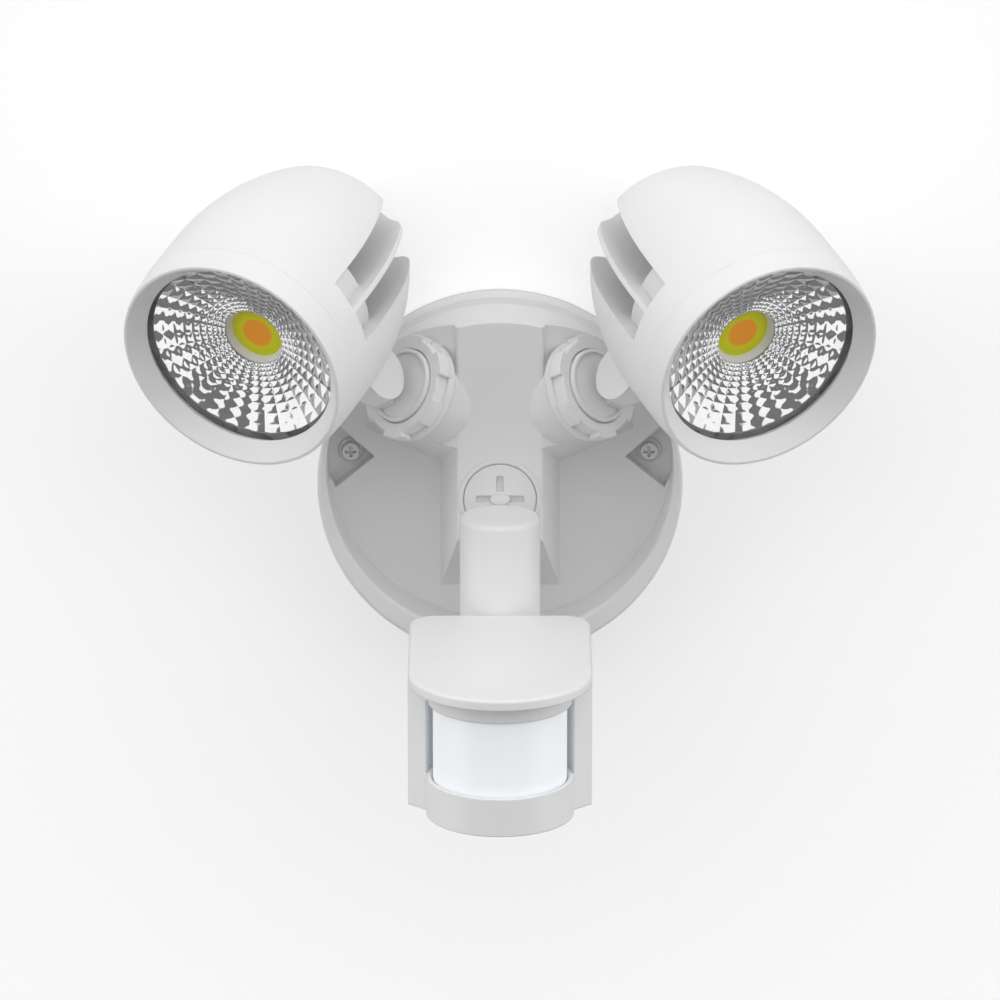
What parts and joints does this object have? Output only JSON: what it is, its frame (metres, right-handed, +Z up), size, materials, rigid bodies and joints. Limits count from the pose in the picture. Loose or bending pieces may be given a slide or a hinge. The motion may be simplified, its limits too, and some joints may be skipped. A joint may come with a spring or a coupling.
{
  "type": "motion sensor security light",
  "caption": "Round wall base carrying a pair of bullet-shaped floodlight heads on swivel and tilt joints, with a hooded motion sensor hanging below on a pivoting arm.",
  "frame": {"origin": "on the wall plane, behind the centre of the round base", "axes": "+X to the viewer's right, -Y away from the wall, +Z up"},
  "size_m": [0.2408, 0.1512, 0.1935],
  "materials": {
    "white_cover": "white moulded plastic, satin",
    "white_paint": "white powder coat on cast aluminium",
    "clear_cover": "clear flat window",
    "mirror_bowl": "metallised faceted bowl",
    "white_holder": "white clamp ring",
    "board_ceramic": "white board",
    "phosphor": "yellow phosphor gel",
    "milky_lens": "thin milky infrared window",
    "pale_gasket": "white foam sealing ring against the wall",
    "gasket_rubber": "black sealing rubber",
    "plate_steel": "zinc plated sheet",
    "screw_steel": "plated screws",
    "driver_case": "closed supply case",
    "block_plastic": "terminal block",
    "circuit_board": "green circuit board",
    "can_metal": "small metal can",
    "dial_plastic": "dark setting dials"
  },
  "bodies": {
    "base": {"wall_gasket": "pale_gasket", "mounting_plate": "plate_steel", "cable_grommet": "gasket_rubber", "terminal_block": "block_plastic", "terminal_screws": "screw_steel", "led_driver": "driver_case", "base_cover": "white_cover", "cover_screws": "screw_steel"},
    "left_ring": {"left_lock_ring": "white_cover"},
    "left_stem": {"left_stem": "white_cover", "left_stem_seal": "gasket_rubber", "left_hinge_bolt": "screw_steel", "left_hinge_washer": "screw_steel"},
    "left_head": {"left_head_housing": "white_paint", "left_head_bezel": "white_cover", "left_head_lens": "clear_cover", "left_lens_gasket": "gasket_rubber", "left_reflector": "mirror_bowl", "left_led_holder": "white_holder", "left_led_board": "board_ceramic", "left_led_emitter": "phosphor"},
    "right_ring": {"right_lock_ring": "white_cover"},
    "right_stem": {"right_stem": "white_cover", "right_stem_seal": "gasket_rubber", "right_hinge_bolt": "screw_steel", "right_hinge_washer": "screw_steel"},
    "right_head": {"right_head_housing": "white_paint", "right_head_bezel": "white_cover", "right_head_lens": "clear_cover", "right_lens_gasket": "gasket_rubber", "right_reflector": "mirror_bowl", "right_led_holder": "white_holder", "right_led_board": "board_ceramic", "right_led_emitter": "phosphor"},
    "arm": {"pivot_disc": "white_cover", "pivot_nut": "white_cover", "sensor_arm": "white_cover", "pan_screw": "screw_steel"},
    "sensor_head": {"sensor_back": "white_cover", "sensor_body": "white_cover", "sensor_hood": "white_cover", "sensor_lens": "milky_lens", "sensor_board": "circuit_board", "pir_element": "can_metal", "body_screws": "screw_steel"},
    "dial_range": {"dial_range": "dial_plastic"},
    "dial_lux": {"dial_lux": "dial_plastic"},
    "dial_time": {"dial_time": "dial_plastic"}
  },
  "joints": [
    {"name": "left_ring_turn", "type": "hinge", "parent": "base", "child": "left_ring", "pos_m": [-0.0317, -0.036, 0.0353], "axis": [-0.7034, -0.5595, 0.4384], "range_deg": [0, 120]},
    {"name": "left_swivel", "type": "hinge", "parent": "base", "child": "left_stem", "pos_m": [-0.0317, -0.036, 0.0353], "axis": [-0.7034, -0.5595, 0.4384], "range_deg": [-60, 12]},
    {"name": "left_tilt", "type": "hinge", "parent": "left_stem", "child": "left_head", "pos_m": [-0.04049, -0.04299, 0.04078], "axis": [0.7102, -0.528, 0.4656], "range_deg": [-5, 30]},
    {"name": "right_ring_turn", "type": "hinge", "parent": "base", "child": "right_ring", "pos_m": [0.0317, -0.036, 0.0353], "axis": [-0.7034, 0.5595, -0.4384], "range_deg": [0, 120]},
    {"name": "right_swivel", "type": "hinge", "parent": "base", "child": "right_stem", "pos_m": [0.0317, -0.036, 0.0353], "axis": [-0.7034, 0.5595, -0.4384], "range_deg": [-60, 12]},
    {"name": "right_tilt", "type": "hinge", "parent": "right_stem", "child": "right_head", "pos_m": [0.04049, -0.04299, 0.04078], "axis": [0.7102, 0.528, -0.4656], "range_deg": [-5, 30]},
    {"name": "sensor_swing", "type": "hinge", "parent": "base", "child": "arm", "pos_m": [0, -0.037, -0.0032], "axis": [0, -1, 0], "range_deg": [-20, 20]},
    {"name": "sensor_pan", "type": "hinge", "parent": "arm", "child": "sensor_head", "pos_m": [0, -0.05075, -0.058], "axis": [0, 0, 1], "range_deg": [-45, 45]},
    {"name": "dial_range_turn", "type": "hinge", "parent": "sensor_head", "child": "dial_range", "pos_m": [-0.014, -0.084, -0.0815], "axis": [0, 0, 1], "range_deg": [-135, 135]},
    {"name": "dial_lux_turn", "type": "hinge", "parent": "sensor_head", "child": "dial_lux", "pos_m": [0, -0.084, -0.0815], "axis": [0, 0, 1], "range_deg": [-135, 135]},
    {"name": "dial_time_turn", "type": "hinge", "parent": "sensor_head", "child": "dial_time", "pos_m": [0.014, -0.084, -0.0815], "axis": [0, 0, 1], "range_deg": [-135, 135]}
  ]
}
